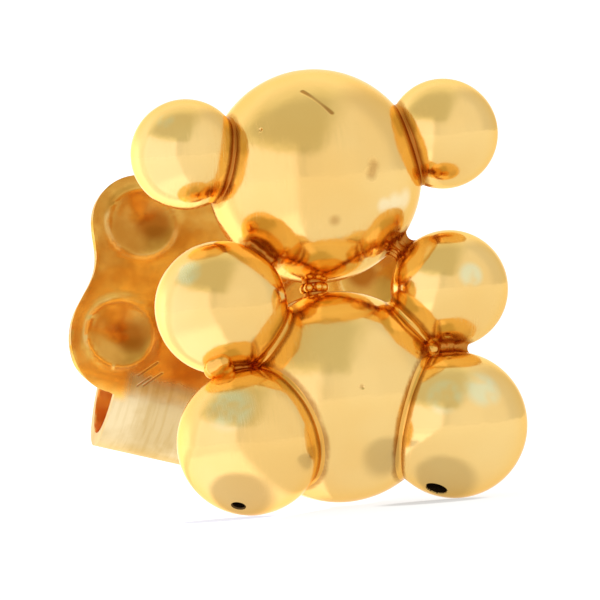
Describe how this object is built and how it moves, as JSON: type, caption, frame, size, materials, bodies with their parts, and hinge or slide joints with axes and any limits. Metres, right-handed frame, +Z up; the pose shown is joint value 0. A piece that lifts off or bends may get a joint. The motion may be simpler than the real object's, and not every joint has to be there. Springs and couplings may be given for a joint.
{
  "type": "stud earring",
  "caption": "Stud earring: plain gold balls soldered into a small faceless ball bear, with a straight post and a butterfly clutch that slides on it.",
  "frame": {"origin": "on the surface that the earring rests on, under the middle of its box", "axes": "-Y is the way the figure looks, +Y is towards the clutch, +X is to the viewer's right and +Z is up; the figure leans back"},
  "size_m": [0.0084, 0.0152, 0.0098],
  "materials": {
    "polished_gold": "mirror polished yellow gold with fine wear",
    "clutch_gold": "stamped yellow gold sheet with fine rolling lines"
  },
  "bodies": {
    "front": {"soldered_ball_front": "polished_gold"},
    "clutch": {"butterfly_clutch": "clutch_gold"}
  },
  "joints": [
    {"name": "clutch_slide", "type": "slide", "parent": "front", "child": "clutch", "axis": [0, 0.9844, -0.1759], "range_m": [-0.0058, 0.0034]}
  ]
}
